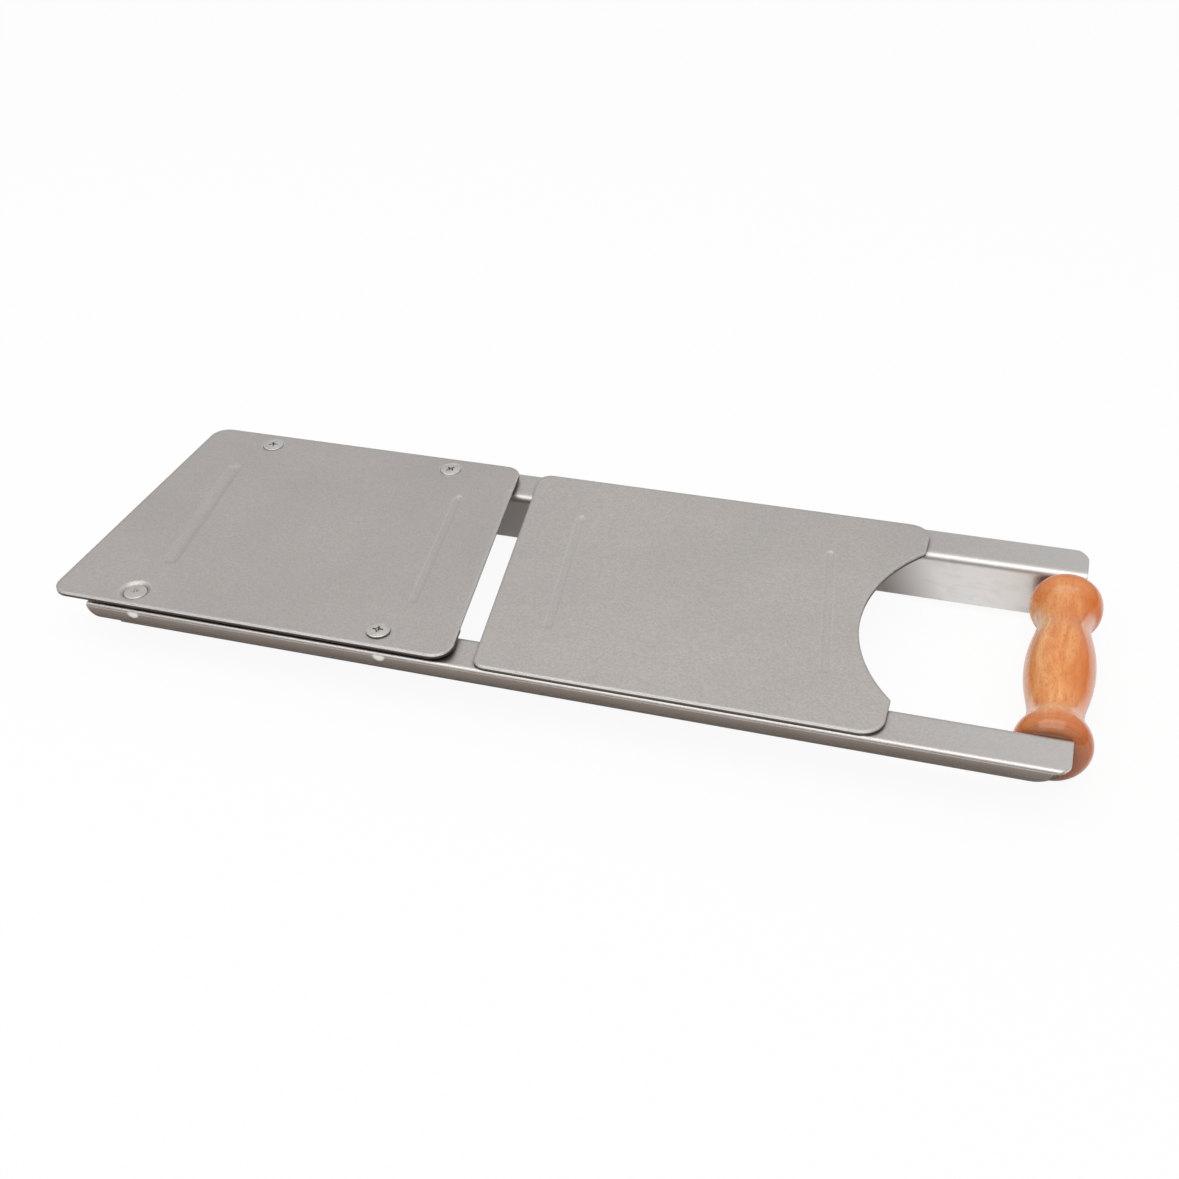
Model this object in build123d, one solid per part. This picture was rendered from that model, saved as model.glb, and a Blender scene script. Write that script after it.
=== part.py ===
from build123d import *
import math
import os

# Flat mandoline slicer: two bent sheet rails, a feed plate welded across them, a blade plate
# screwed on above them, a slanted throat between the plates and a turned wooden grip.
# Millimetres and degrees. +X runs from the blade plate to the grip, +Y away from the user's side, +Z up.
# The origin is under the middle of the slicer, level with the lowest point of the grip.

# Rails: an inverted J of sheet with a tall web inside, a flange on top and a short lip outside
rail_length = 344.0
rail_width = 128.0  # over the outer faces of both lips
rail_gap = 92.8  # between the inner faces of both webs
rail_sheet = 1.2
web_bend_radius = 1.8  # inside of the bend
lip_bend_radius = 0.3  # inside of the bend
web_depth = 19.6  # down from the flange's top face
lip_depth = 5.2  # down from the flange's top face, at the free end
lip_taper = 1.1  # less depth than that at the grip end
web_end_radius = 11.0  # lower corner of a web at the grip end
lip_start_radius = 5.0  # lower corner of a lip at the free end
lip_end_radius = 3.5  # lower corner of a lip at the grip end
rail_corner_radius = {"near": 5.0, "far": 8.0}  # outer corner at the grip end, seen from above
dent_radius = 7.0  # ball that pressed the dents into the lips
dent_depth = 0.5
dent_drop = 1.6  # centre of a dent below the flange's top face
dent_offset = 3.4  # along the rail, from the screw beside it

# Plates
plate_sheet = 1.4
plate_edge_radius = 0.25
blade_plate_length = 147.1  # on the centre line
blade_plate_inset = 0.5  # each side, inside the lips
blade_plate_overhang = 15.3  # past the free ends of the rails
blade_plate_corner = 7.0
blade_stand_off = 1.2  # from the flanges to the underside of the blade plate
bevel_width = 5.0
cutting_edge = 0.1  # thickness left at the ground edge, under the rounded top
throat_gap = 8.0  # along X
throat_skew = 8.5
feed_plate_inset = 0.8  # each side, inside the lips
feed_throat_corner = 5.0
feed_tab_corner = 8.0
feed_tab_setback = 57.4  # from the tabs to the grip end of the rails
notch_radius = 68.1  # hand clearance, struck from the middle of the grip

# Pressed grooves that stiffen both plates, in line with the throat
groove_length = 73.5
groove_width = 3.6
groove_depth = 0.45
broad_groove_width = 6.0  # beside the free edge
broad_groove_depth = 0.55
end_mark_radius = 1.0  # ball that marked the far end of a narrow groove
end_mark_depth = 0.35
groove_from_outer_edge = 28.3
groove_from_throat = {"blade": 20.5, "feed": 22.2}

# Countersunk cross-recess screws, spring washers and nuts that hold the blade plate
screw_radius = 2.5
screw_length = 12.0
screw_head_radius = 4.2
screw_dome = 0.3  # rise of the head's raised top
screw_rim = 0.4
screw_rim_round = 0.35
thread_pitch = 0.8
thread_depth = 0.4
thread_clearance = 0.05
seat_clearance = 0.1
screw_hole_radius = 3.5
sunk_flare_radius = 5.8
recess_span = 3.8
recess_wing = 0.8
recess_wing_taper = 8.0
recess_core_radius = 1.1
recess_core_tip_radius = 0.5
recess_depth = 1.4
washer_outer_radius = 6.5
washer_bore_radius = 4.3
washer_sheet = 0.5
washer_play = 0.03
nut_across_flats = 8.0
nut_height = 4.0
hex_chamfer = 0.6

# How far each screw is from the free edge or the throat edge beside it, how far the top of its head
# stands above the blade plate, and how its cross is turned
screw_from_edge = {"far_left": 30.0, "far_right": 28.9, "near_left": 31.0, "near_right": 28.2}
head_proud = {"far_left": 0.6, "far_right": 0.5, "near_left": -0.3, "near_right": 1.1}
cross_turn = {"far_left": 20.0, "far_right": 55.0, "near_left": 30.0, "near_right": 8.0}

# Grip: turned wood that spins on a sleeve, which a bolt clamps between the webs
grip_end_play = 0.3
grip_belly_radius = 11.9
grip_shoulder_radius = 10.8
grip_neck_radius = 9.25
grip_rise_radius = 10.7
grip_bulb_radius = 12.8
grip_end_radius = 8.2
grip_bulb_from_end = 6.4
grip_rise_from_end = 13.1
grip_neck_from_end = 20.6
grip_shoulder_from_end = 33.1
grip_inset = 5.8  # from the axis to the grip end of the rails
sleeve_outer_radius = 3.5
sleeve_wall = 0.9
running_clearance = 0.08
bolt_radius = 2.5
bolt_hole_clearance = 0.2
bolt_head_height = 3.5
bolt_tip = 1.5  # beyond the nut
flat_washer_radius = 5.0
flat_washer_thickness = 1.0
lock_collar_radius = 3.6
lock_collar_height = 1.0

# Places worked out from the sizes above
overall_length = blade_plate_overhang + rail_length - grip_inset + grip_bulb_radius
rail_end_x = overall_length / 2 - grip_bulb_radius + grip_inset
rail_start_x = rail_end_x - rail_length
grip_x = rail_end_x - grip_inset
grip_z = grip_bulb_radius
flange_z = grip_z + web_depth / 2
flange_under_z = flange_z - rail_sheet
web_inner_y = rail_gap / 2
web_outer_y = web_inner_y + rail_sheet
lip_y = rail_width / 2
screw_y = (web_inner_y + lip_y) / 2
free_edge_x = rail_start_x - blade_plate_overhang
blade_throat_x = free_edge_x + blade_plate_length
feed_throat_x = blade_throat_x + throat_gap
feed_tab_x = rail_end_x - feed_tab_setback
blade_under_z = flange_z + blade_stand_off
blade_top_z = blade_under_z + plate_sheet
feed_top_z = flange_z + plate_sheet
skew_slope = math.tan(math.radians(throat_skew))

corners = {
    "far_left": (free_edge_x + screw_from_edge["far_left"], screw_y),
    "far_right": (blade_throat_x - screw_y * skew_slope - screw_from_edge["far_right"], screw_y),
    "near_left": (free_edge_x + screw_from_edge["near_left"], -screw_y),
    "near_right": (blade_throat_x + screw_y * skew_slope - screw_from_edge["near_right"], -screw_y),
}


def write(part, name):
    """Write one piece under its node name."""
    export_step(part, f"parts/{name}.step")


def upright(radius, low, high, x=0.0, y=0.0):
    """Cylinder along Z between two heights."""
    return Pos(x, y, (low + high) / 2) * Cylinder(radius, high - low)


def crosswise(part):
    """Turn a piece modelled along +Z so that it lies along +Y on the grip's axis."""
    return Pos(grip_x, 0, grip_z) * Rot(-90, 0, 0) * part


# Rails

def rail_section():
    """Section of the far rail, in the YZ plane."""
    web_bottom = flange_z - web_depth
    lip_bottom = flange_z - lip_depth
    outline = Polyline(
        (web_inner_y, web_bottom),
        (web_inner_y, flange_z),
        (lip_y, flange_z),
        (lip_y, lip_bottom),
        (lip_y - rail_sheet, lip_bottom),
        (lip_y - rail_sheet, flange_under_z),
        (web_outer_y, flange_under_z),
        (web_outer_y, web_bottom),
        close=True,
    )
    face = make_face(outline)
    bends = [
        (web_inner_y, flange_z, web_bend_radius + rail_sheet),
        (web_outer_y, flange_under_z, web_bend_radius),
        (lip_y, flange_z, lip_bend_radius + rail_sheet),
        (lip_y - rail_sheet, flange_under_z, lip_bend_radius),
    ]
    for y, z, radius in bends:
        face = fillet(face.vertices().sort_by_distance((y, z))[0], radius)
    return face


def web_waste():
    """What rounding takes off the far web's lower corner at the grip end."""
    span = 4 * rail_sheet
    block = Pos(web_end_radius, 0, -web_end_radius) * Box(2 * web_end_radius, span, 2 * web_end_radius)
    round_off = block - Rot(90, 0, 0) * Cylinder(web_end_radius, span)
    return Pos(rail_end_x - web_end_radius, web_inner_y, flange_z - web_depth + web_end_radius) * round_off


def lip_waste(end_x):
    """What trimming takes off the far lip below its bend, so that it tapers and ends round at end_x."""
    low = flange_z - lip_depth
    bend_z = flange_z - lip_bend_radius - rail_sheet
    end_low = low + lip_taper * (end_x - rail_start_x) / rail_length
    corners_kept = [(rail_start_x, low), (end_x, end_low), (end_x, flange_z), (rail_start_x, flange_z)]
    outline = make_face(Polyline(*corners_kept, close=True))
    outline = fillet(outline.vertices().sort_by_distance((rail_start_x, low))[0], lip_start_radius)
    outline = fillet(outline.vertices().sort_by_distance((end_x, end_low))[0], lip_end_radius)
    span = 4 * rail_sheet
    height = bend_z - low + rail_sheet
    block = Pos(grip_x - rail_length / 2, 0, bend_z - height / 2) * Box(2 * rail_length, span, height)
    return Pos(0, lip_y, 0) * (block - extrude(Plane.XZ * outline, span, both=True))


def bare_rail(corner):
    """Far rail without holes and with its ends trimmed; corner is its outer radius from above."""
    lip_end_x = rail_end_x - corner
    size = corner + rail_sheet
    bar = extrude(Plane.YZ.offset(rail_start_x) * rail_section(), rail_length)
    bar -= web_waste()
    bar -= lip_waste(lip_end_x)
    block = Box(size, size, 2 * web_depth) - Pos(-size / 2, -size / 2, 0) * Cylinder(corner, 2 * web_depth)
    return bar - Pos(lip_end_x + size / 2, lip_y - corner + size / 2, flange_z) * block


def rail(side):
    """One rail with its screw holes, bolt hole and dents; side is near or far."""
    body = bare_rail(rail_corner_radius[side])
    sign = 1
    if side == "near":
        body = mirror(body, about=Plane.XZ)
        sign = -1
    for end in ("left", "right"):
        x, y = corners[f"{side}_{end}"]
        body -= upright(screw_hole_radius, flange_under_z - 1, flange_z + 1, x, y)
        ball_y = sign * (lip_y + dent_radius - dent_depth)
        body -= Pos(x + dent_offset, ball_y, flange_z - dent_drop) * Sphere(dent_radius)
    bolt_hole = Cylinder(bolt_radius + bolt_hole_clearance, rail_sheet * 3)
    body -= crosswise(Pos(0, 0, sign * (web_inner_y + rail_sheet / 2)) * bolt_hole)
    return body


# Plates

def plate_blank(outline_points, under_z, left_corner, right_corner):
    """Flat plate with rounded corners."""
    blank = extrude(make_face(Polyline(*outline_points, close=True)), plate_sheet)
    uprights = blank.edges().filter_by(Axis.Z).sort_by(Axis.X)
    blank = fillet(uprights[:2], left_corner)
    uprights = blank.edges().filter_by(Axis.Z).sort_by(Axis.X)
    blank = fillet(uprights[-2:], right_corner)
    return Pos(0, 0, under_z) * blank


def soften_top(plate):
    """Round the upper edge all the way round."""
    top = plate.faces().sort_by(Axis.Z)[-1]
    return fillet(top.outer_wire().edges(), plate_edge_radius)


def capsule(radius, half):
    """Round-ended bar along Y, with its end balls centred half from the middle."""
    bar = Rot(90, 0, 0) * Cylinder(radius, 2 * half)
    return bar + Pos(0, half, 0) * Sphere(radius) + Pos(0, -half, 0) * Sphere(radius)


def press_groove(plate, x, top_z, width, depth):
    """Press a shallow groove into a plate, with its bulge on the underside."""
    radius = (width**2 / 4 + depth**2) / (2 * depth)
    half = groove_length / 2 - width / 2
    place = Pos(x, 0, top_z - depth + radius) * Rot(0, 0, throat_skew)
    low = top_z - plate_sheet - depth
    slab = Pos(x, 0, (low + top_z) / 2) * Box(groove_length, groove_length * 2, top_z - low)
    bulge = (place * capsule(radius + plate_sheet, half)) & slab
    return plate + bulge - place * capsule(radius, half)


def narrow_groove(plate, x, top_z):
    """Press a narrow groove with a round mark at its far end."""
    plate = press_groove(plate, x, top_z, groove_width, groove_depth)
    mark = Pos(0, groove_length / 2, top_z - end_mark_depth + end_mark_radius) * Sphere(end_mark_radius)
    return plate - Pos(x, 0, 0) * Rot(0, 0, throat_skew) * mark


def feed_plate():
    """Fixed plate between the throat and the hand notch."""
    half = lip_y - feed_plate_inset
    outline = [
        (feed_throat_x + half * skew_slope, -half),
        (feed_tab_x, -half),
        (feed_tab_x, half),
        (feed_throat_x - half * skew_slope, half),
    ]
    plate = plate_blank(outline, flange_z, feed_throat_corner, feed_tab_corner)
    plate -= upright(notch_radius, flange_z - 1, feed_top_z + 1, grip_x)
    plate = soften_top(plate)
    plate = narrow_groove(plate, feed_throat_x + groove_from_throat["feed"], feed_top_z)
    return narrow_groove(plate, feed_tab_x - groove_from_outer_edge, feed_top_z)


def screw_seat(name):
    """Tapered hole in the blade plate that fits one screw head, flared where the head is sunk."""
    x, y = corners[name]
    rim_z = blade_top_z + head_proud[name] - screw_dome - screw_rim
    shank = screw_radius + seat_clearance
    head = screw_head_radius + seat_clearance
    low = rim_z - (head - shank)
    hole = upright(shank, blade_under_z - plate_sheet, blade_top_z + plate_sheet, x, y)
    hole += Pos(x, y, (low + rim_z) / 2) * Cone(shank, head, rim_z - low)
    hole += upright(head, rim_z, rim_z + plate_sheet, x, y)
    if head_proud[name] < 0:
        flare = blade_top_z - rim_z
        hole += Pos(x, y, rim_z + flare / 2) * Cone(head, sunk_flare_radius, flare)
    return hole


def blade_plate():
    """Screwed plate whose throat edge is ground to a cutting edge from below."""
    half = lip_y - blade_plate_inset
    outline = [
        (free_edge_x, -half),
        (blade_throat_x + half * skew_slope, -half),
        (blade_throat_x - half * skew_slope, half),
        (free_edge_x, half),
    ]
    plate = plate_blank(outline, blade_under_z, blade_plate_corner, blade_plate_corner)
    plate = soften_top(plate)
    outer_x = free_edge_x + groove_from_outer_edge
    plate = press_groove(plate, outer_x, blade_top_z, broad_groove_width, broad_groove_depth)
    plate = narrow_groove(plate, blade_throat_x - groove_from_throat["blade"], blade_top_z)
    for name in corners:
        plate -= screw_seat(name)
    rise = plate_sheet - plate_edge_radius - cutting_edge
    wedge = make_face(Polyline((-bevel_width, 0), (bevel_width, 0), (bevel_width, 2 * rise), close=True))
    wedge = extrude(Plane.XZ * wedge, web_inner_y, both=True)
    return plate - Pos(blade_throat_x, 0, blade_under_z) * Rot(0, 0, throat_skew) * wedge


# Fasteners

def thread_profile(radius, start, length):
    """Zigzag from the plain shank at height start down along a thread, as (radius, height) points."""
    points = []
    for turn in range(int(length / thread_pitch)):
        crest = start - turn * thread_pitch
        points.append((radius, crest))
        points.append((radius - thread_depth, crest - thread_pitch / 2))
    return points


def turned(outline):
    """Solid of revolution about Z from a half outline, drawn as radius and height."""
    return revolve(Plane.XZ * outline, Axis.Z)


def cross_recess():
    """Tapered cross that a driver fits, with its mouth at height 0."""
    wing = extrude(Plane.XY * Rectangle(recess_span, recess_wing), -recess_depth, taper=recess_wing_taper)
    core = Pos(0, 0, -recess_depth / 2) * Cone(recess_core_tip_radius, recess_core_radius, recess_depth)
    return wing + Rot(0, 0, 90) * wing + core


def plate_screw(name):
    """Raised countersunk screw with its head at this corner's height and a thread that reaches the nut."""
    x, y = corners[name]
    top = blade_top_z + head_proud[name]
    rim_top = top - screw_dome
    rim = rim_top - screw_rim
    neck = rim - (screw_head_radius - screw_radius)
    thread_start = min(neck, flange_under_z) - thread_pitch / 4
    tip = top - screw_length
    thread = thread_profile(screw_radius, thread_start, thread_start - tip - thread_pitch)
    shoulder = (screw_head_radius, rim_top)
    below = [(screw_head_radius, rim), (screw_radius, neck), *thread]
    sides = Polyline(shoulder, *below, (screw_radius - thread_depth, tip), (0, tip), (0, top))
    outline = make_face(TangentArc((0, top), shoulder, tangent=(1, 0)) + sides)
    outline = fillet(outline.vertices().sort_by_distance(shoulder)[0], screw_rim_round)
    screw = turned(outline)
    screw -= Pos(0, 0, top) * Rot(0, 0, cross_turn[name]) * cross_recess()
    return Pos(x, y, 0) * screw


def spring_washer(name):
    """Curved spring washer between a flange and the blade plate, at its fitted height."""
    x, y = corners[name]
    rise = blade_stand_off - washer_sheet - 2 * washer_play
    curve = (washer_outer_radius**2 + rise**2) / (2 * rise)
    low = flange_z + washer_play
    axis = Pos(0, 0, low + curve + washer_sheet) * Rot(90, 0, 0)
    span = 4 * washer_outer_radius
    sheet = axis * Cylinder(curve + washer_sheet, span) - axis * Cylinder(curve, span)
    ring = upright(washer_outer_radius, low, blade_under_z) - upright(washer_bore_radius, low, blade_under_z)
    return Pos(x, y, 0) * (sheet & ring)


def hexagon(height):
    """Hexagonal prism on Z = 0 with its corners turned off at both ends."""
    corner_radius = nut_across_flats / math.sqrt(3)
    prism = extrude(RegularPolygon(corner_radius, 6), height)
    barrel = Pos(0, 0, height / 2) * Cylinder(corner_radius, height)
    return prism & chamfer(barrel.edges().filter_by(GeomType.CIRCLE), hex_chamfer)


def rail_nut(name):
    """Nut welded under a flange."""
    x, y = corners[name]
    nut = hexagon(nut_height) - upright(screw_radius + thread_clearance, -1, nut_height + 1)
    return Pos(x, y, flange_under_z - nut_height) * nut


# Grip

def grip():
    """Turned wooden grip with a bulb at each end."""
    half = web_inner_y - grip_end_play
    side = [
        (grip_belly_radius, 0),
        (grip_shoulder_radius, half - grip_shoulder_from_end),
        (grip_neck_radius, half - grip_neck_from_end),
        (grip_rise_radius, half - grip_rise_from_end),
        (grip_bulb_radius, half - grip_bulb_from_end),
    ]
    other_side = [(radius, -along) for radius, along in reversed(side[1:])]
    contour = Spline(*other_side, *side, tangents=((0, 1), (0, 1)))
    far_end = TangentArc(contour @ 1, (grip_end_radius, half), tangent=(0, 1))
    near_end = TangentArc(contour @ 0, (grip_end_radius, -half), tangent=(0, -1))
    closing = Polyline(far_end @ 1, (0, half), (0, -half), near_end @ 1)
    body = revolve(Plane.XZ * make_face(contour + far_end + near_end + closing), Axis.Z)
    return crosswise(body - upright(sleeve_outer_radius + running_clearance, -half - 1, half + 1))


def grip_sleeve():
    """Tube that keeps the webs apart and carries the grip."""
    outside = upright(sleeve_outer_radius, -web_inner_y, web_inner_y)
    return crosswise(outside - upright(sleeve_outer_radius - sleeve_wall, -web_inner_y, web_inner_y))


def grip_bolt():
    """Hexagon bolt from the near web through the sleeve to the nut outside the far web."""
    seat = web_outer_y + flat_washer_thickness
    tip = seat + nut_height + lock_collar_height + bolt_tip
    thread = thread_profile(bolt_radius, -web_outer_y, tip - web_outer_y - thread_pitch)
    points = [(0, seat), (bolt_radius, seat), *thread, (bolt_radius - thread_depth, -tip), (0, -tip)]
    shank = Rot(180, 0, 0) * turned(make_face(Polyline(*points, close=True)))
    return crosswise(shank + Pos(0, 0, -seat - bolt_head_height) * hexagon(bolt_head_height))


def flat_washer(side):
    """Plain washer outside one web."""
    start = web_outer_y if side > 0 else -web_outer_y - flat_washer_thickness
    end = start + flat_washer_thickness
    ring = upright(flat_washer_radius, start, end)
    return crosswise(ring - upright(bolt_radius + bolt_hole_clearance, start - 1, end + 1))


def lock_nut():
    """Nut with a locking collar, outside the far web."""
    start = web_outer_y + flat_washer_thickness
    nut = hexagon(nut_height) + upright(lock_collar_radius, nut_height, nut_height + lock_collar_height)
    nut -= upright(bolt_radius + thread_clearance, -1, nut_height + lock_collar_height + 1)
    return crosswise(Pos(0, 0, start) * nut)


os.makedirs("parts", exist_ok=True)
write(rail("near"), "near_rail")
write(rail("far"), "far_rail")
write(feed_plate(), "feed_plate")
write(blade_plate(), "blade_plate")
for corner in corners:
    write(plate_screw(corner), f"plate_screw_{corner}")
    write(spring_washer(corner), f"spring_washer_{corner}")
    write(rail_nut(corner), f"rail_nut_{corner}")
write(grip(), "handle_grip")
write(grip_sleeve(), "handle_sleeve")
write(grip_bolt(), "handle_bolt")
write(flat_washer(-1), "handle_washer_near")
write(flat_washer(1), "handle_washer_far")
write(lock_nut(), "handle_nut")
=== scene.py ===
import math

import bpy
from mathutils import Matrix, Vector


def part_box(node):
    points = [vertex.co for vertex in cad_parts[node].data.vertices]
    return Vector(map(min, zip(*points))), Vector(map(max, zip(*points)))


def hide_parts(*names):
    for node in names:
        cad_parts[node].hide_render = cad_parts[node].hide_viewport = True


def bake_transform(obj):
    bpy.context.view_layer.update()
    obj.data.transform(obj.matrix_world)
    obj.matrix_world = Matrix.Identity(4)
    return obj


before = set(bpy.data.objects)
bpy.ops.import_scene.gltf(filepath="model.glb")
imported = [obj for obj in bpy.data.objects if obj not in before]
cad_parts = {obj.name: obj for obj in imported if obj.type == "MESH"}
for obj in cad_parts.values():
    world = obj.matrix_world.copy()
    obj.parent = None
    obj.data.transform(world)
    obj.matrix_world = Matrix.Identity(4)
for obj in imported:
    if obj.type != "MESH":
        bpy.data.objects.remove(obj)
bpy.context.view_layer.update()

# Places in metres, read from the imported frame.
rail_low, rail_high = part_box("near_rail")
grip_low, grip_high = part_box("handle_grip")
flange_top = rail_high[2]
web_bottom = rail_low[2]
web_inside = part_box("handle_sleeve")[1][1]
lip_outside = -rail_low[1]
rail_free_end = rail_low[0]
rail_grip_end = rail_high[0]
grip_axis_x = (grip_low[0] + grip_high[0]) / 2
grip_half_length = grip_high[1]
corners = ("far_left", "far_right", "near_left", "near_right")

# Depths below the flanges' top faces, and how softly the lips' brown and the painted shade behind them
# begin there.
lip_bend_depth = 0.0015
lip_face_depth = 0.0018
lip_bottom_depth = 0.0050
lip_fade = 0.0006
web_back_depth = 0.0016
web_back_fade = 0.0008

# How far the lips' brown and the webs' painted shade and reflection reach into the sheet, and how softly
# they end.
lip_skin = 0.0009
lip_skin_fade = 0.0003
web_skin = 0.0004
web_skin_fade = 0.0008

# How far down the plates' near edges get a painted highlight.
rim_depth = 0.0006

# The dents in the lips: where they are beside their screws, and how far their painted glint reaches.
dent_offset = 0.0034
dent_depth = 0.0008
dent_reach = 0.0026
dent_core = 0.6

# Where the flanges start to turn lighter towards the grip, where the webs' painted reflection begins
# beside the grip, and how that border leans with depth.
grip_side_start = 0.11
web_light_start = 0.097
web_light_full = 0.119
web_light_lean = 0.45

# The studio: half the floor's width, its white, and how much of that white it shows in reflections.
floor_half = 4.0
floor_white = 0.93
floor_mirrored = 0.25

# The camera: its lens and sensor in millimetres, its place in metres, and its turns in degrees.
lens = 46.4893
sensor = 36.0
camera_place = (0.149915, -0.436170, 0.333783)
camera_turns = (55.4141, 1.6509, 17.4805)


class Graph:
    """A node tree, with short calls for adding nodes and wiring them."""

    def __init__(self, tree, place):
        self.tree = tree
        self.place = tree.nodes.new("ShaderNodeTexCoord").outputs[place]

    def feed(self, socket, value):
        """Give one input a number or the output of another node."""
        if isinstance(value, bpy.types.NodeSocket):
            self.tree.links.new(value, socket)
        else:
            socket.default_value = value

    def wire(self, node, inputs):
        """Give a node's inputs numbers or the outputs of other nodes."""
        for key, value in inputs.items():
            self.feed(node.inputs[key], value)
        return node

    def add(self, kind, inputs, **settings):
        """Add a node with its settings and inputs."""
        node = self.tree.nodes.new(kind)
        for key, value in settings.items():
            setattr(node, key, value)
        return self.wire(node, inputs)

    def math(self, operation, first, second, clamp=False):
        """The result of an operation on two values."""
        node = self.add("ShaderNodeMath", {0: first, 1: second}, operation=operation, use_clamp=clamp)
        return node.outputs[0]

    def unsigned(self, value):
        """A value without its sign."""
        return self.math("ABSOLUTE", value, 0.0)

    def rest(self, share):
        """What a share leaves of one."""
        return self.math("SUBTRACT", 1.0, share)

    def most(self, first, second):
        """The larger of two values."""
        return self.math("MAXIMUM", first, second)

    def times(self, *values):
        """The product of several values."""
        product = values[0]
        for value in values[1:]:
            product = self.math("MULTIPLY", product, value)
        return product

    def span(self, value, low, high, out_low=0.0, out_high=1.0):
        """Turn low..high of a value into out_low..out_high, held at both ends."""
        inputs = {0: value, 1: low, 2: high, 3: out_low, 4: out_high}
        return self.add("ShaderNodeMapRange", inputs, clamp=True).outputs[0]

    def axes(self, vector=None):
        """The three parts of a vector, or of the place on the piece."""
        node = self.add("ShaderNodeSeparateXYZ", {0: self.place if vector is None else vector})
        return node.outputs[0], node.outputs[1], node.outputs[2]


class Look(Graph):
    """A material, with calls for the patterns that the finishes share."""

    def __init__(self, name):
        self.material = bpy.data.materials.new(name)
        self.material.use_nodes = True
        super().__init__(self.material.node_tree, "Object")
        self.surface = self.tree.nodes["Principled BSDF"]

    def noise(self, per_metre, detail=2.0, turn=(0.0, 0.0, 0.0), twist=0.0):
        """A noise value with its own fineness along each axis."""
        stretch = {"Vector": self.place, "Scale": per_metre, "Rotation": turn}
        mapping = self.add("ShaderNodeMapping", stretch)
        inputs = {"Vector": mapping.outputs[0], "Scale": 1.0, "Detail": detail, "Distortion": twist}
        return self.add("ShaderNodeTexNoise", inputs).outputs[0]

    def blend(self, amount, first, second):
        """Mix two colours."""
        node = self.tree.nodes.new("ShaderNodeMix")
        node.data_type = "RGBA"
        values = {"Factor_Float": amount, "A_Color": first, "B_Color": second}
        for socket in node.inputs:
            if socket.identifier in values:
                self.feed(socket, values[socket.identifier])
        return [socket for socket in node.outputs if socket.identifier == "Result_Color"][0]

    def normals(self):
        """The three parts of the surface's normal: how far it faces along each axis."""
        return self.axes(self.tree.nodes.new("ShaderNodeNewGeometry").outputs["Normal"])

    def edges(self, radius):
        """One along sharp edges, nothing on flat ground; keeps the rounded normal too."""
        rounded = self.add("ShaderNodeBevel", {"Radius": radius}, samples=4)
        self.rounded = rounded.outputs[0]
        plain = self.tree.nodes.new("ShaderNodeNewGeometry")
        inputs = {0: rounded.outputs[0], 1: plain.outputs["Normal"]}
        match = self.add("ShaderNodeVectorMath", inputs, operation="DOT_PRODUCT").outputs["Value"]
        return self.span(match, 0.99, 0.90)

    def hollows(self, reach):
        """Open share of the sky within reach: one on open ground, less in corners."""
        return self.add("ShaderNodeAmbientOcclusion", {"Distance": reach}, samples=6).outputs["AO"]

    def bump(self, height, depth, below=None):
        """A fine relief, depth metres high, on top of another one."""
        inputs = {"Height": height, "Distance": depth, "Strength": 1.0}
        if below is not None:
            inputs["Normal"] = below
        return self.add("ShaderNodeBump", inputs).outputs[0]


def rgb(red, green, blue):
    """A colour from its usual 0..255 screen values, by the sRGB curve."""
    values = []
    for level in (red, green, blue):
        part = level / 255
        values.append(part / 12.92 if part <= 0.04045 else ((part + 0.055) / 1.055) ** 2.4)
    return (values[0], values[1], values[2], 1.0)


bright_metal = rgb(240, 237, 233)


def satin_steel(name, tone, shade, rough, grain, edge, soil_and_shade):
    """Rolled sheet steel: cloudy tone, specks, grain, faint scratches, painted shade in corners, soft
    edges.
    """
    speck_tone = rgb(170, 164, 159)
    painted_shade_tone = rgb(66, 58, 52)
    painted_shade_reach = 0.0016
    relief_depth = 0.000005
    scratch_turn = (0, 0, math.radians(24))
    look = Look(name)
    cloud = look.noise((26, 26, 26), 3.0)
    mottle = look.noise((240, 240, 240), 3.0)
    speck = look.noise((1400, 1400, 1400), 2.0)
    streak = look.noise(grain, 3.0)
    pits = look.noise((3200, 3200, 3200), 2.0)
    scuff = look.noise((22, 900, 900), 2.0, turn=scratch_turn)
    scratch = look.span(scuff, 0.70, 0.74, out_high=0.08)
    colour = look.blend(look.span(cloud, 0.35, 0.65), shade, tone)
    colour = look.blend(look.span(mottle, 0.3, 0.7, out_high=0.5), colour, shade)
    colour = look.blend(look.span(speck, 0.35, 0.65, out_high=0.4), colour, speck_tone)
    colour = look.blend(look.span(streak, 0.3, 0.7, out_high=0.3), colour, shade)
    colour = look.blend(scratch, colour, bright_metal)
    # Painted shade: darker where nearby parts hide the sky, in corners and under the plates.
    painted_shade = look.span(look.hollows(painted_shade_reach), 0.80, 0.45, out_high=soil_and_shade)
    look.tone = look.blend(painted_shade, colour, painted_shade_tone)
    look.worn = look.edges(edge)
    roughness = look.span(cloud, 0.3, 0.7, rough - 0.012, rough + 0.012)
    roughness = look.math("ADD", roughness, look.span(streak, 0.2, 0.8, -0.04, 0.04))
    roughness = look.math("SUBTRACT", roughness, look.times(look.worn, 0.10))
    grainy = look.bump(streak, relief_depth, look.rounded)
    pitted = look.bump(pits, relief_depth, grainy)
    look.wire(look.surface, {"Metallic": 1.0, "Roughness": roughness, "Normal": pitted})
    return look


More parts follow.
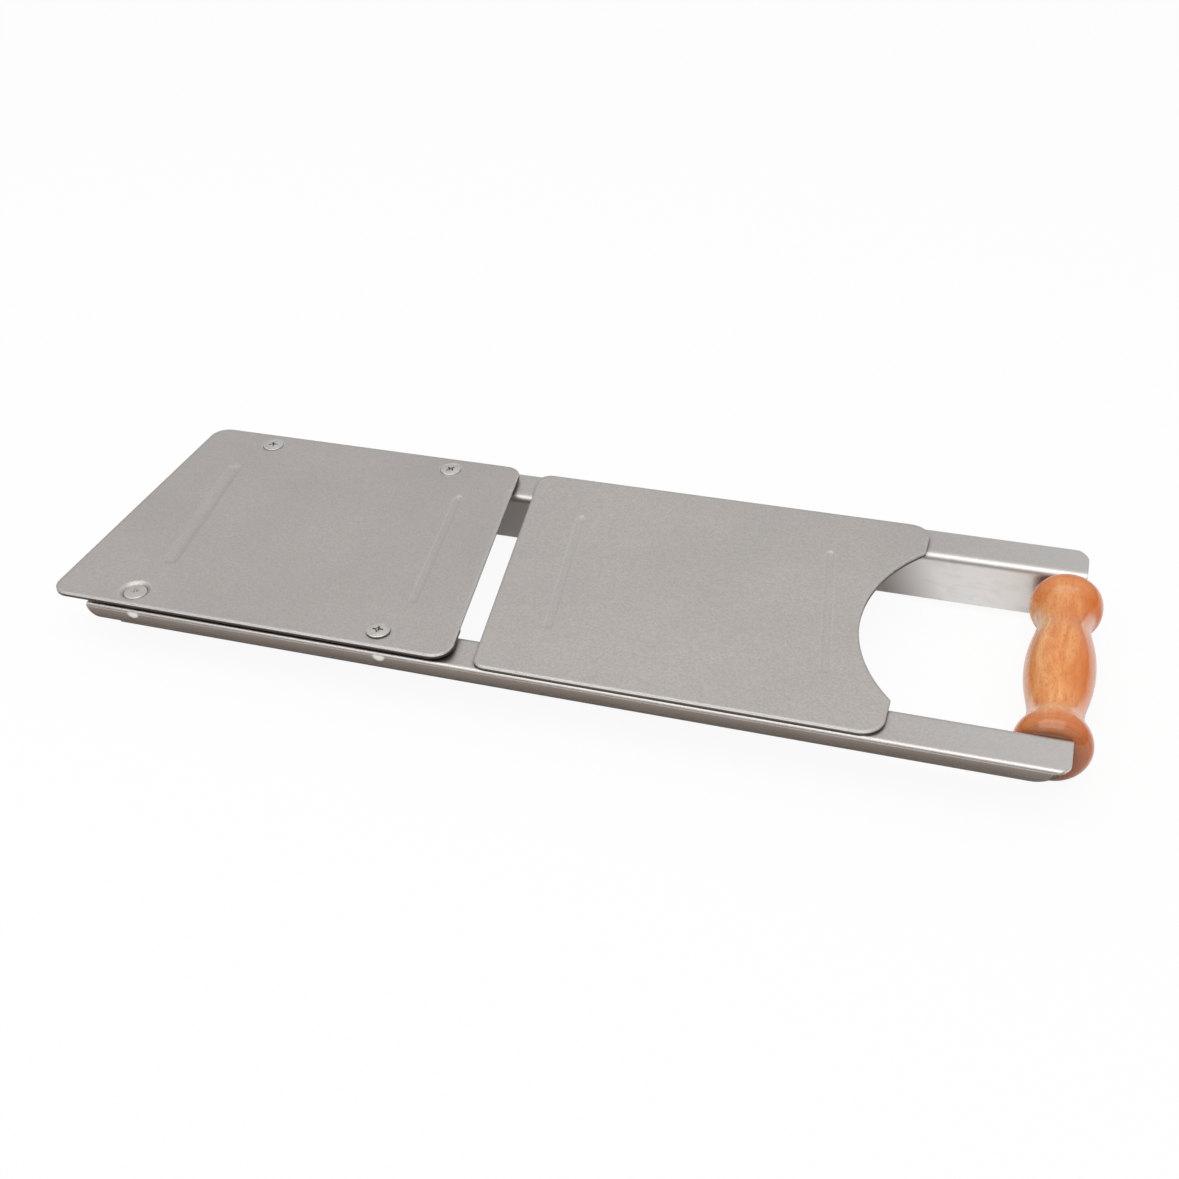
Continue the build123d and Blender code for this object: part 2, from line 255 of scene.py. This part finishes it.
def plate_steel(name, tone, shade, sheared, top):
    """A plate's sheet: upright sheared edges darker, upper corners lighter with edge wear and a painted
    highlight.
    """
    grain = (60, 2300, 2300)
    look = satin_steel(name, tone, shade, rough=0.42, grain=grain, edge=0.0018, soil_and_shade=0.35)
    across, upward = look.normals()[1:]
    upright = look.span(look.unsigned(upward), 0.75, 0.35)
    # The upright sheared faces are darker.
    colour = look.blend(look.times(upright, 0.92), look.tone, sheared)
    # Edge wear and a painted highlight on the edges of upward faces; the near edge's upper corner also
    # gets a painted highlight.
    wear_and_highlight = look.times(look.worn, look.span(upward, 0.2, 0.6), 0.95)
    near_edge = look.span(across, -0.2, -0.6)
    rim = look.span(look.axes()[2], top - rim_depth, top - rim_depth / 2)
    wear_and_highlight = look.most(wear_and_highlight, look.times(upright, near_edge, rim))
    colour = look.blend(wear_and_highlight, colour, bright_metal)
    look.wire(look.surface, {"Base Color": colour})
    return look


def lip_dents(look, along, across, depth):
    """One in the dents beside the screws, each on its own screw's side, and nothing elsewhere."""
    below = look.math("SUBTRACT", depth, dent_depth)
    dents = 0.0
    for corner in corners:
        screw_low, screw_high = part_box("plate_screw_" + corner)
        dent_x = (screw_low[0] + screw_high[0]) / 2 + dent_offset
        aside = look.math("SUBTRACT", along, dent_x)
        square = look.math("ADD", look.times(aside, aside), look.times(below, below))
        dent = look.span(square, dent_reach ** 2, (dent_reach * dent_core) ** 2)
        same_side = look.math("GREATER_THAN", look.times(across, screw_low[1]), 0.0)
        dents = look.most(dents, look.times(dent, same_side))
    return dents


def brown_lips(look, colour, outer_face, dents, depth):
    """Brown on the outer lips, darker towards the bottom, kept off faces that turn upwards and off the
    dents, which get a painted glint.
    """
    below_bend = look.span(depth, lip_bend_depth / 2, lip_bend_depth, 0.6, 0.96)
    # Faces that turn upwards stay light: a painted highlight.
    upright = look.span(look.normals()[2], 0.30, 0.10)
    on_lip = look.most(upright, look.span(depth, lip_face_depth, lip_face_depth + lip_fade))
    patchy = look.span(look.noise((70, 70, 300), 3.0), 0.25, 0.75, 0.92, 1.0)
    brown_share = look.times(outer_face, below_bend, on_lip, patchy, look.rest(dents))
    lowness = look.span(depth, lip_bend_depth, lip_bottom_depth)
    brown = look.blend(lowness, rgb(140, 126, 116), rgb(88, 79, 72))
    colour = look.blend(brown_share, colour, brown)
    # Painted glint in the lower part of each dent.
    wear_and_highlight = look.times(dents, look.span(depth, dent_depth, dent_depth + lip_fade))
    return look.blend(wear_and_highlight, colour, rgb(240, 236, 230))


def webs_with_painted_light(look, colour, inner_face, along, depth):
    """Webs with painted shade under the plates, and a painted reflection with smudges beside the grip."""
    border = look.math("SUBTRACT", along, look.times(depth, web_light_lean))
    web_light_share = look.span(border, web_light_start, web_light_full)
    smudge = look.span(look.noise((90, 90, 260), 4.0, twist=1.0), 0.50, 0.75, out_high=0.22)
    lit_web_tone = look.blend(smudge, rgb(240, 239, 237), rgb(176, 168, 160))
    # Painted shade under the plates, painted reflection beside the grip.
    web_tone = look.blend(web_light_share, rgb(168, 161, 156), lit_web_tone)
    return look.blend(look.times(inner_face, 0.9), colour, web_tone)


def rail_steel():
    """The rails' sheet: flanges lighter towards the grip, brown outer lips, painted shade behind the
    lips, and webs with painted shade and reflection.
    """
    tone = rgb(216, 211, 208)
    shade = rgb(208, 203, 199)
    grain = (50, 2100, 2100)
    look = satin_steel("rail_steel", tone, shade, rough=0.38, grain=grain, edge=0.0005, soil_and_shade=0.75)
    along, across, height = look.axes()
    reach = look.unsigned(across)
    depth = look.math("SUBTRACT", flange_top, height)
    outer_face = look.span(reach, lip_outside - lip_skin - lip_skin_fade, lip_outside - lip_skin)
    inner_face = look.span(reach, web_inside + web_skin + web_skin_fade, web_inside + web_skin)
    grip_side_lightening = look.span(along, grip_side_start, rail_grip_end, out_high=0.5)
    colour = look.blend(grip_side_lightening, look.tone, rgb(232, 228, 226))
    dents = look.times(outer_face, lip_dents(look, along, across, depth))
    colour = brown_lips(look, colour, outer_face, dents, depth)
    colour = webs_with_painted_light(look, colour, inner_face, along, depth)
    between = look.rest(look.most(inner_face, outer_face))
    under_flange = look.span(depth, web_back_depth, web_back_depth + web_back_fade, out_high=0.9)
    # Painted shade on the hidden faces below the flanges, between webs and lips.
    colour = look.blend(look.times(under_flange, between), colour, rgb(146, 135, 126))
    colour = look.blend(look.times(look.worn, 0.30), colour, bright_metal)
    look.wire(look.surface, {"Base Color": colour})
    return look


def plain_steel(name, tone, shade, soil_and_shade, rough, fineness, filled=0.0):
    """Small hardware: mottled plating, tool marks, bright edges and soiled or filled hollows."""
    edge_radius = 0.0002
    hollow_reach = 0.0012
    mark_depth = 0.000012
    look = Look(name)
    mottle = look.noise((420, 420, 420), 3.0)
    marks = look.noise(fineness, 2.0)
    worn = look.edges(edge_radius)
    hollow = look.hollows(hollow_reach)
    colour = look.blend(look.span(mottle, 0.35, 0.65), shade, tone)
    colour = look.blend(look.times(worn, 0.4), colour, rgb(244, 242, 238))
    colour = look.blend(look.span(hollow, 0.6, 0.2, out_high=0.6), colour, soil_and_shade)
    roughness = look.span(mottle, 0.3, 0.7, rough - 0.05, rough + 0.06)
    roughness = look.math("ADD", roughness, look.span(hollow, 0.7, 0.2, out_high=0.2))
    inputs = {
        "Metallic": look.span(hollow, 0.75, 0.4, 1.0, 1.0 - filled),
        "Base Color": colour,
        "Roughness": roughness,
        "Normal": look.bump(marks, mark_depth),
    }
    look.wire(look.surface, inputs)
    return look


def near_ends(look, start, full, strength=1.0):
    """Nothing until start metres from the grip's ends, then rising to its strength at full metres."""
    along = look.unsigned(look.axes()[1])
    return look.span(along, grip_half_length - start, grip_half_length - full, out_high=strength)


def bulb_wood(look, colour):
    """The grip's bulbs: redder wood, the near one darker as painted shade, with turning marks and ends
    darkened by end grain and painted shade.
    """
    across = look.axes()[1]
    # Redder wood on both bulbs, with painted shade on the near one.
    bulb_tone_and_shade = look.blend(look.span(across, -0.02, 0.02), rgb(204, 102, 44), rgb(220, 118, 52))
    colour = look.blend(near_ends(look, start=0.0115, full=0.0055, strength=0.6), colour, bulb_tone_and_shade)
    marks = look.span(look.noise((40, 1100, 40), 2.0), 0.50, 0.68, out_high=0.5)
    marked = look.times(marks, near_ends(look, start=0.008, full=0.004))
    colour = look.blend(marked, colour, rgb(158, 92, 58))
    # End grain and painted shade towards the ends.
    end_grain_and_shade = near_ends(look, start=0.0035, full=0.0002, strength=0.6)
    return look.blend(end_grain_and_shade, colour, rgb(156, 98, 68))


def grip_wood():
    """Turned hardwood under a thick clear lacquer: long grain, flecks along it, and one side redder."""
    redder_side_start = 0.001
    redder_side_full = 0.008
    shade_reach = 0.008
    pore_depth = 0.00001
    look = Look("grip_wood")
    broad = look.noise((150, 32, 150), 3.0, twist=0.8)
    fine = look.noise((1000, 130, 1000), 3.0)
    fleck = look.noise((2400, 520, 2400), 2.0)
    colour = look.blend(look.span(broad, 0.34, 0.66), rgb(234, 143, 72), rgb(254, 188, 122))
    colour = look.blend(look.span(fine, 0.40, 0.72, out_high=0.40), colour, rgb(206, 106, 46))
    colour = look.blend(look.span(fleck, 0.55, 0.70, out_high=0.50), colour, rgb(196, 82, 34))
    side = look.axes()[0]
    redder_side = look.span(side, grip_axis_x + redder_side_start, grip_axis_x + redder_side_full, out_high=0.75)
    colour = look.blend(redder_side, colour, rgb(236, 122, 40))
    colour = bulb_wood(look, colour)
    shaded = look.span(look.hollows(shade_reach), 0.85, 0.45, out_high=0.85)
    colour = look.blend(shaded, colour, rgb(78, 38, 22))
    turned_away = look.add("ShaderNodeLayerWeight", {"Blend": 0.5}).outputs["Facing"]
    lacquer = look.span(turned_away, 0.55, 0.68, 0.4, 1.0)
    inputs = {
        "Base Color": colour,
        "Roughness": look.span(fine, 0.3, 0.7, 0.40, 0.52),
        "Normal": look.bump(fleck, pore_depth),
        "Specular IOR Level": 0.1,
        "Coat Weight": look.most(lacquer, near_ends(look, start=0.017, full=0.012, strength=0.5)),
        "Coat Roughness": 0.08,
        "Coat IOR": 1.9,
    }
    look.wire(look.surface, inputs)
    return look


def dress(look, *names):
    """Give CAD nodes a material."""
    for name in names:
        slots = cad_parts[name].data.materials
        slots.clear()
        slots.append(look.material)


def bending_washer(name):
    """A copy of a spring washer with its place baked into its mesh; the CAD washer is hidden."""
    washer = bpy.data.objects.new("bending_" + name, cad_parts[name].data.copy())
    bpy.context.scene.collection.objects.link(washer)
    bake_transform(washer)
    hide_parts(name)


def dress_sheet():
    """The plates and rails get their finishes."""
    blade_tone = rgb(212, 206, 202)
    blade_shade = rgb(204, 199, 195)
    blade_edge = rgb(72, 62, 54)
    blade_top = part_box("blade_plate")[1][2]
    feed_tone = rgb(218, 213, 208)
    feed_shade = rgb(210, 205, 201)
    feed_edge = rgb(104, 94, 86)
    feed_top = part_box("feed_plate")[1][2]
    dress(plate_steel("blade_plate_steel", blade_tone, blade_shade, blade_edge, blade_top), "blade_plate")
    dress(plate_steel("feed_plate_steel", feed_tone, feed_shade, feed_edge, feed_top), "feed_plate")
    dress(rail_steel(), "near_rail", "far_rail")


def dress_hardware():
    """Screws, washers, nuts and bolt get their finishes, the bolt and its nut a dark painted shade; one
    screw's recess is filled with pale dirt.
    """
    soil_and_shade = rgb(92, 74, 58)
    rust = rgb(158, 116, 86)
    pale = rgb(250, 244, 232)
    turned = (1800, 1800, 300)
    rolled = (1500, 1500, 1500)
    sunk_tone = rgb(216, 212, 207)
    sunk_shade = rgb(206, 201, 196)
    screw_look = plain_steel("screw_steel", rgb(228, 226, 222), rgb(208, 205, 200), rust, 0.30, turned)
    sunk_look = plain_steel("sunk_screw_steel", sunk_tone, sunk_shade, pale, 0.38, turned, filled=1.0)
    spring_look = plain_steel("spring_steel", rgb(150, 146, 142), rgb(118, 114, 112), soil_and_shade, 0.36, rolled)
    plated_look = plain_steel("plated_steel", rgb(212, 211, 206), rgb(188, 186, 176), soil_and_shade, 0.32, rolled)
    # Painted shade: the bolt and its nut are dark because they sit in shade below the lips.
    shaded_bolt_look = plain_steel("bolt_steel_painted_shade", rgb(134, 114, 98), rgb(108, 90, 76), soil_and_shade, 0.45, rolled)
    dress(screw_look, "plate_screw_far_left", "plate_screw_far_right", "plate_screw_near_right")
    dress(sunk_look, "plate_screw_near_left")
    for corner in corners:
        dress(spring_look, "spring_washer_" + corner)
        bending_washer("spring_washer_" + corner)
        dress(plated_look, "rail_nut_" + corner)
    dress(plated_look, "handle_sleeve", "handle_washer_near", "handle_washer_far")
    dress(shaded_bolt_look, "handle_bolt", "handle_nut")


def studio_floor():
    """A pale floor that the slicer leans on: its grip at one end, the webs' corners at the other."""
    mesh = bpy.data.meshes.new("floor")
    signs = ((-1, -1), (1, -1), (1, 1), (-1, 1))
    mesh.from_pydata([(x * floor_half, y * floor_half, 0) for x, y in signs], [], [(0, 1, 2, 3)])
    floor = bpy.data.objects.new("floor", mesh)
    floor.location = (grip_axis_x, 0, 0)
    floor.rotation_euler = (0, math.atan2(web_bottom, grip_axis_x - rail_free_end), 0)
    bpy.context.scene.collection.objects.link(floor)
    look = Look("studio_floor")
    path = look.tree.nodes.new("ShaderNodeLightPath")
    seen = look.math("ADD", path.outputs["Is Camera Ray"], path.outputs["Is Transmission Ray"])
    mirrored = look.times(path.outputs["Is Glossy Ray"], floor_mirrored)
    own_light = look.math("ADD", look.times(seen, floor_white), mirrored, clamp=True)
    white = look.add("ShaderNodeEmission", {"Color": (1, 1, 1, 1), "Strength": 1.0})
    pale = (floor_white, floor_white, floor_white, 1)
    look.wire(look.surface, {"Base Color": pale, "Roughness": 0.9})
    inputs = {0: own_light, 1: look.surface.outputs[0], 2: white.outputs[0]}
    mixed = look.add("ShaderNodeMixShader", inputs)
    look.wire(look.tree.nodes["Material Output"], {"Surface": mixed.outputs[0]})
    mesh.materials.append(look.material)


def studio_world():
    """A dim room low down, higher up on the near side, and pale grey walls and ceiling above."""
    dim_room = 0.2
    pale_walls = 0.60
    ceiling_extra = 0.17
    near_side_lift = 0.25
    world = bpy.data.worlds.new("studio")
    world.use_nodes = True
    bpy.context.scene.world = world
    graph = Graph(world.node_tree, "Generated")
    across, height = graph.axes()[1:]
    lifted = graph.math("ADD", height, graph.times(across, near_side_lift))
    walls = graph.span(lifted, 0.195, 0.395, dim_room, pale_walls)
    ceiling = graph.span(height, 0.38, 0.78, out_high=ceiling_extra)
    strength = graph.math("ADD", walls, ceiling)
    graph.wire(world.node_tree.nodes["Background"], {"Color": (1, 1, 1, 1), "Strength": strength})


def softbox(name, place, width, length, glow):
    """A level studio panel that shines down; at a glow of one it is as bright as white."""
    lamp = bpy.data.lights.new(name, "AREA")
    lamp.shape = "RECTANGLE"
    lamp.size = width
    lamp.size_y = length
    lamp.energy = glow * math.pi * width * length
    holder = bpy.data.objects.new(name, lamp)
    holder.location = place
    bpy.context.scene.collection.objects.link(holder)


def photo_camera():
    """The photograph's viewing angle, for a square picture."""
    camera = bpy.data.cameras.new("camera")
    camera.sensor_width = sensor
    camera.lens = lens
    camera.clip_start = 0.01
    holder = bpy.data.objects.new("camera", camera)
    holder.location = camera_place
    holder.rotation_euler = [math.radians(turn) for turn in camera_turns]
    bpy.context.scene.collection.objects.link(holder)
    bpy.context.scene.camera = holder


dress_sheet()
dress_hardware()
dress(grip_wood(), "handle_grip")
studio_floor()
studio_world()
softbox("panel", place=(-0.1, -0.38, 1.0), width=1.4, length=0.9, glow=1.25)
photo_camera()
bpy.context.scene.view_settings.view_transform = "Standard"
